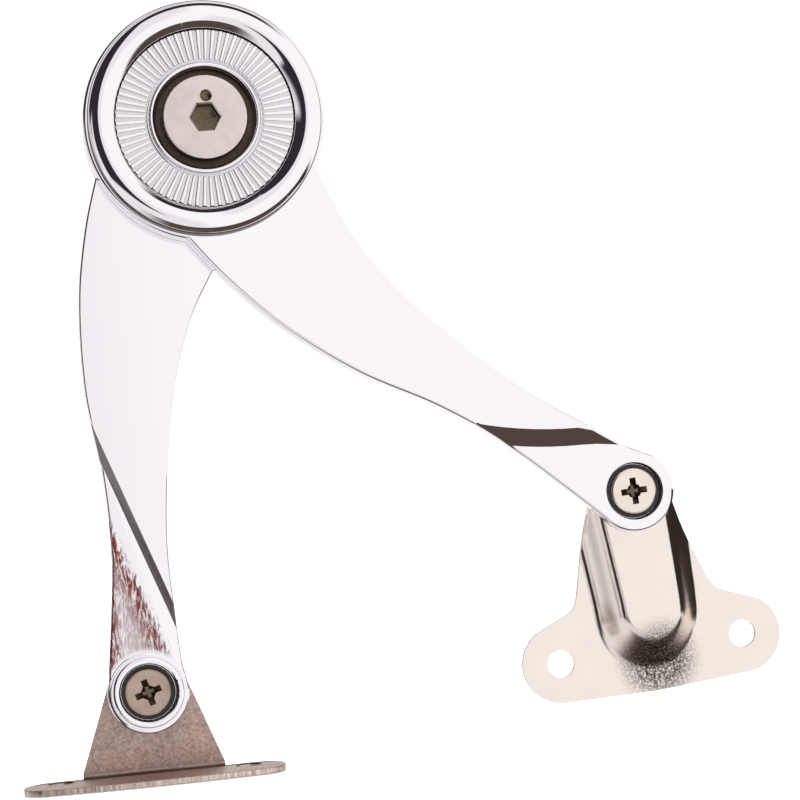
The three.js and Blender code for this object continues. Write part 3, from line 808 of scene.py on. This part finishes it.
# ------------------------------------------------------------------ dial

RING_BACK = 5.7
RING_BORE = 9.7
RING_SIDE = 19.85
BEAD = (17.5, 6.95)
BEAD_HEIGHT = 2.2
RIB_BED = 6.85
RIB_START = 10.0
RIB_END = 15.1
RIB_TOP = 7.45
RIB_COUNT = 72
RIB_HALF_START = 0.27
RIB_HALF_END = 0.38

bead = arc(*BEAD, 2.35, 0, 84, 14, BEAD_HEIGHT) + arc(*BEAD, 2.05, 90, 126, 6, BEAD_HEIGHT)
groove = [(15.4, 8.0), (15.3, 7.85), (15.3, 6.7), (15.2, 6.7), (RIB_END, RIB_BED)]
bed = [(10.1, RIB_BED), (RING_BORE, 6.7)]
ring_profile = [(RING_BORE, RING_BACK), (RING_SIDE, RING_BACK)] + bead + groove + bed
ring = thing("dial_ring_chromed", spun(ring_profile, 180))


def ring_zone(face):
    """0 is the buffed bead, 1 the bed under the ribs, and 2 the painted shade in the gaps at its foot and in
    its groove.
    """
    reach = math.hypot(*face.center.xy)
    if 15.05 < reach < 15.32 or reach > 19.68:
        return 2
    return int(reach < RIB_END and face.normal.z > 0.5)


beds = [ring_zone(face) for face in ring.data.polygons]
finished(
    ring, AT_HUB, "upper_arm", ["dial_ring"], [chrome, groove_chrome, gap_shade_metal], beds
)

rib_outline = [
    (RIB_START, -RIB_HALF_START),
    (RIB_END, -RIB_HALF_END),
    (RIB_END, RIB_HALF_END),
    (RIB_START, RIB_HALF_START),
]
rib = prism(rib_outline, 6.7, RIB_TOP)
rounded(rib, [e for e in rib.edges if all(v.co.z > 7 for v in e.verts)], 0.2, 3)
bmesh.ops.spin(
    rib,
    geom=rib.verts[:] + rib.edges[:] + rib.faces[:],
    cent=(0, 0, 0),
    axis=(0, 0, 1),
    angle=2 * math.pi * (RIB_COUNT - 1) / RIB_COUNT,
    steps=RIB_COUNT - 1,
    use_merge=False,
    use_duplicate=True,
)
ribs = thing("dial_ribs", rib)
finished(ribs, AT_HUB, "upper_arm", [], [chrome])

COLLAR_BORE = 6.9
COLLAR_SIDE = 9.55
collar_top = arc(9.1, 7.25, 0.45, 0, 180, 12, 0.6)
collar_profile = [(COLLAR_BORE, RING_BACK), (COLLAR_SIDE, RING_BACK)] + collar_top
collar_profile += [(8.4, 7.1), (8.35, 5.95), (COLLAR_BORE, 5.95)]
collar = thing("dial_collar_turned", spun(collar_profile, 144))
# The collar's inner wall takes the dark gap finish: painted shade.
inside = [int(math.hypot(*f.center.xy) < 8.62 and f.center.z < 7.4) for f in collar.data.polygons]
finished(collar, AT_HUB, "upper_arm", ["dial_collar"], [chrome, gap_shade_metal], inside)

# ------------------------------------------------------------------ tension screw

SCREW_TOP = 8.5
SOCKET_FLATS = 4.4
SOCKET_DEPTH = 3.0
DIMPLE = Vector((0.4, 3.6))
DIMPLE_RADIUS = 1.35
screw = thing(
    "tension_screw_faced",
    spun(
        [
            (0, -4.0),
            (2.35, -4.0),
            (2.85, -3.5),
            (2.85, 7.3),
            (7.15, 7.3),
            (7.15, SCREW_TOP - 0.3),
            (7.06, SCREW_TOP - 0.09),
            (6.85, SCREW_TOP),
            (0, SCREW_TOP),
        ],
        120,
    ),
)
socket = prism(polygon(SOCKET_FLATS, 6, -1), SCREW_TOP - SOCKET_DEPTH, SCREW_TOP + 1)
lead_in = spun(
    [(0, SCREW_TOP - 0.3), (2.45, SCREW_TOP - 0.3), (3.05, SCREW_TOP + 0.2), (0, SCREW_TOP + 0.2)], 6
)
point = spun([(0, SCREW_TOP - 4.2), (2.1, SCREW_TOP - 2.95), (0, SCREW_TOP - 2.95)], 36)
dimple = bmesh.new()
bmesh.ops.create_uvsphere(dimple, u_segments=32, v_segments=16, radius=DIMPLE_RADIUS)
moved(dimple, Matrix.Translation((*DIMPLE, SCREW_TOP + 0.85)))
worked(screw, "DIFFERENCE", socket, lead_in, point, dimple)


def sunk_in_head(face):
    """Whether a face is inside the socket or the dimple, which are coloured dark as painted shade."""
    depth = SCREW_TOP - face.center.z
    in_socket = depth > 0.3 and math.hypot(*face.center.xy) < 3
    return in_socket or (depth > 0.12 and (face.center.xy - DIMPLE).length < 1.3)


sunk = [int(sunk_in_head(face)) for face in screw.data.polygons]
finished(screw, AT_HUB, "tension_screw", ["tension_screw"], [screw_face, socket_shade_nickel], sunk)

# ------------------------------------------------------------------ pivot screws


def cross_blade(top, degrees):
    """One of the two tapered blades of the driver's cross."""
    bm = bmesh.new()
    bmesh.ops.create_cube(bm, size=1)
    for vert in bm.verts:
        high = vert.co.z > 0
        vert.co.x *= 4.7 if high else 2.0
        vert.co.y *= 1.1 if high else 0.6
        vert.co.z = top + 0.05 if high else top - 1.4
    return moved(bm, Matrix.Rotation(math.radians(degrees), 4, "Z"))


def pivot_screw(name, seat, end, degrees):
    top = seat + 0.8
    made = thing(
        name,
        spun(
            [
                (0, end),
                (1.4, end),
                (1.7, end + 0.3),
                (1.7, seat),
                (4.0, seat),
                (4.0, top - 0.35),
                (3.92, top - 0.14),
                (3.7, top),
                (0, top),
            ],
            84,
        ),
    )
    centre = spun([(0, top - 1.3), (0.5, top - 1.3), (1.35, top + 0.05), (0, top + 0.05)], 8)
    worked(made, "DIFFERENCE", cross_blade(top, degrees), cross_blade(top, degrees + 90), centre)
    return made


def sunk_in_cross(face, seat):
    """Whether a face is inside the driver's cross, which is coloured dark as painted shade."""
    reach = math.hypot(*face.center.xy)
    lift = face.center.z - seat
    return reach < 2.45 and (0 < lift < 0.75 or (lift < 0 and reach < 1.3))


lower_seat = LOWER_END - RECESS_DEPTH + SCREW_SEAT
upper_seat = UPPER_END - RECESS_DEPTH + SCREW_SEAT
flap_screw = pivot_screw("flap_pivot_screw_plated", lower_seat, -6.6, 17)
cabinet_screw = pivot_screw("cabinet_pivot_screw_plated", upper_seat, -2.4, 0)
for made, seat, place, body, finish in (
    (flap_screw, lower_seat, FLAP, "flap_bracket", flap_screw_nickel),
    (cabinet_screw, upper_seat, CABINET, "cabinet_bracket", cabinet_screw_nickel),
):
    node = body.split("_")[0] + "_pivot_screw"
    sunk = [int(sunk_in_cross(face, seat)) for face in made.data.polygons]
    finished(made, place, body, [node], [finish, socket_shade_nickel], sunk)

# ------------------------------------------------------------------ cabinet bracket


def lean(points):
    """The flange stands a little to one side of the pivot."""
    return [(x + FLANGE_SHIFT * min(1, max(0, y / NECK_Y)), y) for x, y in points]


def flange_outline():
    right = (
        arc(LOBE_X, LOBE_Y, LOBE_RADIUS, -88, 60, 40)
        + curve_through([(15.6, -20.6), (13.2, -19.4), (12.0, -17.4)], 16)
        + [(7.7, -3.0)]
        + arc(0, 0, BOSS_RADIUS, 4, 90, 24)
    )
    left = [(-x, y) for x, y in reversed(right)]
    return lean(right + left[1:] + [(0, LOBE_Y - LOBE_RADIUS - 0.6)])


BOSS_TOP = -0.3
BOSS_BOTTOM = -20.6
BOSS_HALF = 6.2
BOSS_TAPER = 0.9
BOSS_END_RADIUS = 5.3
FLANK = 3.2
FLANK_SPREAD = 2.6
PLATE_FRONT = PLATE_PLANE + SHEET
FLANGE_HOLE = 2.4


def pressed_level(x, y):
    """Level of the sheet's front: flat on the boss, down its flank, and flat again on the flange."""
    x -= FLANGE_SHIFT * min(1, max(0, y / NECK_Y))
    width = FLANK
    if y > BOSS_BOTTOM:
        half = BOSS_HALF - BOSS_TAPER * min(1, max(0, y / BOSS_BOTTOM))
        out = abs(x) - half
    else:
        down = BOSS_BOTTOM - y
        out = math.hypot(x, down) - BOSS_END_RADIUS
        turn = math.atan2(down, abs(x)) / (math.pi / 2)
        width += FLANK_SPREAD * turn * turn * (3 - 2 * turn)
    t = min(1, max(0, (out + 0.7) / (width + 1.7)))
    return BOSS_TOP + (PLATE_FRONT - BOSS_TOP) * t * t * (3 - 2 * t)


def spacer(back, top):
    """The pressed-out collar that keeps a bracket off its arm."""
    return spun([(1.5, back), (2.95, back), (2.95, top - 0.1), (2.85, top), (1.5, top)], 48)


sheet = bmesh.new()
bmesh.ops.create_grid(sheet, x_segments=124, y_segments=116, size=0.5)
for vert in sheet.verts:
    vert.co.x *= 49.6
    vert.co.y = vert.co.y * 46.4 - 14.6
    vert.co.z = pressed_level(vert.co.x, vert.co.y)
bracket = thing("cabinet_bracket_pressed", sheet)
thick = bracket.modifiers.new("thick", "SOLIDIFY")
thick.thickness = SHEET
thick.offset = -1
thick.use_even_offset = True
settled(bracket)
worked(bracket, "INTERSECT", prism(flange_outline(), -12, 4))
holes = [
    moved(disc(FLANGE_HOLE, -12, 2), Matrix.Translation((FLANGE_SHIFT + side * LOBE_X, LOBE_Y, 0)))
    for side in (-1, 1)
]
worked(bracket, "UNION", spacer(-1.2, 2.1))
worked(bracket, "DIFFERENCE", *holes, disc(SHANK_HOLE, -12, 6, 36))
cut_edges = [int(abs(face.normal.z) < 0.2 and face.center.y < -4) for face in bracket.data.polygons]
finished(
    bracket,
    CABINET,
    "cabinet_bracket",
    ["cabinet_bracket"],
    [bright_sheet, bright_edge],
    cut_edges,
    40,
)

# ------------------------------------------------------------------ flap bracket

FOOT_HALF = 22.2
FOOT_FRONT = 7.2
FOOT_CORNER = 5.0
UPRIGHT_FRONT = -5.5
UPRIGHT_HALF = 12.2
FOOT_HOLE = 2.25
FOOT_HOLE_X = 16.0
FOOT_HOLE_DEPTH = -1.9
bottom = -flap_pivot.z
ear_back = UPRIGHT_FRONT + 0.1
front_corner = FOOT_FRONT - 1.2 - FOOT_CORNER
foot_outline = (
    arc(FOOT_HALF - FOOT_CORNER, ear_back + FOOT_CORNER, FOOT_CORNER, -90, 0, 16)
    + arc(FOOT_HALF - FOOT_CORNER, front_corner, FOOT_CORNER, 0, 72, 14)
    + curve_through([(10, FOOT_FRONT - 0.35), (0, FOOT_FRONT), (-10, FOOT_FRONT - 0.35)], 16)
    + arc(FOOT_CORNER - FOOT_HALF, front_corner, FOOT_CORNER, 108, 180, 14)
    + arc(FOOT_CORNER - FOOT_HALF, ear_back + FOOT_CORNER, FOOT_CORNER, 180, 270, 16)
)
foot = prism(foot_outline, -SHEET, 0)
rounded(foot, [e for e in foot.edges if e.calc_face_angle(0) > 1.2], 0.16, 2)
foot_place = Matrix.Translation((0, bottom, 0)) @ Matrix.Rotation(math.radians(90), 4, "X")
flap = thing("flap_bracket_pressed", moved(foot, foot_place))

bend_inner = 0.7
bend_outer = bend_inner + SHEET
strip = prism(
    [(ear_back + 2, bottom + 0.02), (ear_back + 2, bottom + SHEET - 0.02)]
    + arc(UPRIGHT_FRONT + bend_inner, bottom + bend_outer, bend_inner, 270, 180, 10)
    + [(UPRIGHT_FRONT, 20), (UPRIGHT_FRONT - SHEET, 20)]
    + arc(UPRIGHT_FRONT + bend_inner, bottom + bend_outer, bend_outer, 180, 270, 12),
    -UPRIGHT_HALF,
    UPRIGHT_HALF,
)
upright = thing("upright", moved(strip, Matrix.Rotation(math.radians(-90), 4, "Y")))
shoulders = (
    [(-UPRIGHT_HALF, bottom - 1), (UPRIGHT_HALF, bottom - 1), (UPRIGHT_HALF, bottom + bend_outer)]
    + arc(0, 0, BOSS_RADIUS - 0.1, 22, 158, 40)
    + [(-UPRIGHT_HALF, bottom + bend_outer)]
)
worked(upright, "INTERSECT", prism(shoulders, -20, 20))
soft = upright.modifiers.new("soft", "BEVEL")
soft.width = 0.5
soft.segments = 3
soft.limit_method = "ANGLE"
soft.angle_limit = math.radians(50)
settled(upright)
standing = bmesh.new()
standing.from_mesh(upright.data)
bpy.data.objects.remove(upright)
worked(flap, "UNION", standing, spacer(-6, -3.1))
through = []
for side in (-1, 1):
    lip = FOOT_HOLE + 0.15
    hole = spun([(0, -3), (FOOT_HOLE, -3), (FOOT_HOLE, -0.2), (lip, 0), (lip, 2), (0, 2)], 48)
    centre = Matrix.Translation((side * FOOT_HOLE_X, bottom + SHEET, FOOT_HOLE_DEPTH))
    turned = centre @ Matrix.Rotation(math.radians(-90), 4, "X")
    through.append(moved(hole, turned))
worked(flap, "DIFFERENCE", *through, disc(SHANK_HOLE, -12, 6, 36))


def cut_by_punch(face):
    """Whether a face is on the foot's cut edge, and not on the upright or the fold."""
    return abs(face.normal.y) < 0.25 and face.center.y < bottom + 1.3 and face.center.z > -5


cut_edges = [int(cut_by_punch(face)) for face in flap.data.polygons]
finished(
    flap, FLAP, "flap_bracket", ["flap_bracket"], [satin_sheet, satin_edge], cut_edges, 40
)

# ------------------------------------------------------------------ pieces kept from the frame

kept = {
    "flap_pivot_washer": spring_steel,
    # The bush's near-black colour is painted shade.
    "flap_pivot_bush": acetal,
    "clamp_nut": plate_steel,
    "rear_cover": screw_face,
    "friction_disc_rear": lining,
    "friction_disc_middle": lining,
    "inner_plate": plate_steel,
    "friction_disc_front": lining,
    "stop_pin": plate_steel,
    "outer_plate_rear": plate_steel,
    "outer_plate_front": plate_steel,
    "disc_spring_rear": spring_steel,
    "disc_spring_front": spring_steel,
    # The thrust washer takes the dark gap finish: painted shade.
    "thrust_washer": gap_shade_metal,
    "cabinet_pivot_washer": spring_steel,
    # The bush's near-black colour is painted shade.
    "cabinet_pivot_bush": acetal,
}
for name, finish in kept.items():
    mesh = frame["nodes"][name].data
    mesh.materials.clear()
    mesh.materials.append(finish)

# ------------------------------------------------------------------ floor, light and camera


def hidden_card(name, centre, half_a, half_b, colour):
    """A studio card that shows only in reflections: its centre and half of each side, in metres."""
    centre, half_a, half_b = Vector(centre), Vector(half_a), Vector(half_b)
    bm = bmesh.new()
    corners = [centre + half_a * a + half_b * b for a, b in ((-1, -1), (1, -1), (1, 1), (-1, 1))]
    bm.faces.new([bm.verts.new(corner) for corner in corners])
    card = thing(name, bm)
    made, tree = blank(name)
    glow = add(tree, "ShaderNodeEmission", {"Color": rgba(colour), "Strength": 1.0})
    add(tree, "ShaderNodeOutputMaterial", {"Surface": glow.outputs[0]})
    card.data.materials.append(made)
    card.visible_camera = False
    card.visible_diffuse = False
    card.visible_shadow = False
    return card


floor_mesh = bmesh.new()
bmesh.ops.create_grid(floor_mesh, x_segments=1, y_segments=1, size=4)
floor = thing("floor", floor_mesh)
floor.location.z = -0.0002
paper, tree = blank("studio_paper_white")
mottle = add(tree, "ShaderNodeTexNoise", {"Scale": per(25), "Detail": 2.0})
white = add(
    tree, "ShaderNodeMix", {0: mottle.outputs[0], 6: rgba("#FAFAFA"), 7: rgba("#FFFFFF")}, data_type="RGBA"
)
sheen = add(
    tree,
    "ShaderNodeBsdfPrincipled",
    {
        "Base Color": white.outputs[2],
        "Roughness": 0.9,
        "Specular IOR Level": 0.0,
        "Emission Color": (1, 1, 1, 1),
        "Emission Strength": 0.55,
    },
)
add(tree, "ShaderNodeOutputMaterial", {"Surface": sheen.outputs[0]})
floor.data.materials.append(paper)
floor.visible_glossy = False

hidden_card("card_left_bracket", (0.0418, -0.0725, 0.022), (0, 0.0175, 0), (-0.0062, 0, 0.022), "#FFFDFB")
hidden_card("card_right_bracket", (0.135, 0.022, 0.022), (0, 0.052, 0), (0.025, 0, -0.0189), "#2E2420")

# The studio is white, with dark panels that only the polished pieces mirror.
world = bpy.data.worlds.new("studio")
bpy.context.scene.world = world
world.use_nodes = True
tree = world.node_tree
tree.nodes.clear()
look = add(tree, "ShaderNodeTexCoord").outputs["Generated"]
way = add(tree, "ShaderNodeSeparateXYZ", {"Vector": look})
lifted = add(tree, "ShaderNodeMath", {0: way.outputs[2], 1: 0.0}, operation="MAXIMUM")
upward = add(
    tree,
    "ShaderNodeCombineXYZ",
    {"X": way.outputs[0], "Y": way.outputs[1], "Z": lifted.outputs[0]},
).outputs[0]


def towards(lean, start, full, ray=look):
    """A soft line across the studio: 0 where a ray leans this way by start, and 1 by full."""
    reach = add(tree, "ShaderNodeVectorMath", {0: ray, 1: lean}, operation="DOT_PRODUCT")
    return add(
        tree,
        "ShaderNodeMapRange",
        {"Value": reach.outputs["Value"], "From Min": start, "From Max": full},
        interpolation_type="SMOOTHSTEP",
    ).outputs[0]


ACROSS = (1, 0, 0)
DEEP = (0, 1, 0)
HIGH = (0, 0, 1)

opening = product(
    tree, towards(DEEP, -0.34, -0.24), towards(DEEP, 0.36, 0.26), towards(HIGH, 0.30, 0.12)
)
closed = add(tree, "ShaderNodeMath", {0: 1.0, 1: opening}, operation="SUBTRACT").outputs[0]
panel = product(
    tree,
    towards((1, -0.33, 0.36), 0.03, -0.03),
    towards((-0.4, -0.3, 1), -0.03, 0.03),
    closed,
    towards(HIGH, -0.44, -0.34),
    towards(DEEP, 0.46, 0.36),
)
low = product(
    tree,
    towards((0, 1.9, -1), -0.06, 0.06),
    towards(HIGH, -0.25, -0.40),
    towards(ACROSS, -0.75, -0.35),
    towards(DEEP, 0.60, 0.40),
)
horizon = product(
    tree,
    towards((0, 1, 0.12), -0.08, -0.01, upward),
    towards((0, -1, 0.55), -0.05, 0.02, upward),
    towards((-0.5, 0, 1), 0.3, 0.6),
)
shade = panel
for part in (horizon, low):
    shade = add(tree, "ShaderNodeMath", {0: shade, 1: part}, operation="MAXIMUM").outputs[0]
light = add(
    tree,
    "ShaderNodeMix",
    {0: towards(ACROSS, -0.05, 0.06), 6: rgba("#EFEDEE"), 7: rgba("#FFFFFF")},
    data_type="RGBA",
)
deep = add(
    tree,
    "ShaderNodeMix",
    {0: towards(HIGH, -0.3, -0.8), 6: rgba("#302A30"), 7: rgba("#524540")},
    data_type="RGBA",
)
sky = add(
    tree, "ShaderNodeMix", {0: shade, 6: light.outputs[2], 7: deep.outputs[2]}, data_type="RGBA"
)
seen = add(tree, "ShaderNodeLightPath").outputs["Is Camera Ray"]
shown = add(
    tree, "ShaderNodeMix", {0: seen, 6: sky.outputs[2], 7: (1.1, 1.1, 1.1, 1)}, data_type="RGBA"
)
glow = add(tree, "ShaderNodeBackground", {"Color": shown.outputs[2], "Strength": 1.0})
add(tree, "ShaderNodeOutputWorld", {"Surface": glow.outputs[0]})


def softbox(name, width, depth, power, place, turn):
    """A lamp over the piece that its polish doesn't mirror."""
    lamp = bpy.data.lights.new(name, "AREA")
    lamp.shape = "RECTANGLE"
    lamp.size = width
    lamp.size_y = depth
    lamp.energy = power
    made = bpy.data.objects.new(name, lamp)
    made.location = place
    made.rotation_euler = turn
    made.visible_glossy = False
    bpy.context.scene.collection.objects.link(made)


softbox("softbox_overhead", 1.2, 1.0, 16, (0.05, -0.25, 0.9), (math.radians(15), 0, 0))
front_place = Vector((0.28, -0.55, 0.35))
to_piece = Vector((0.05, 0, 0.06)) - front_place
softbox("softbox_front", 0.5, 0.5, 1.2, front_place, to_piece.to_track_quat("-Z", "Y").to_euler())

bpy.context.scene.view_settings.view_transform = "Standard"

camera = bpy.data.objects.new("camera", bpy.data.cameras.new("camera"))
camera.data.lens = 106.85
camera.data.sensor_width = 36
camera.data.clip_start = 0.01
camera.location = (-0.00683, -0.4077, 0.0473)
camera.rotation_euler = [math.radians(angle) for angle in (91.952, 4.993, -7.393)]
bpy.context.scene.collection.objects.link(camera)
bpy.context.scene.camera = camera
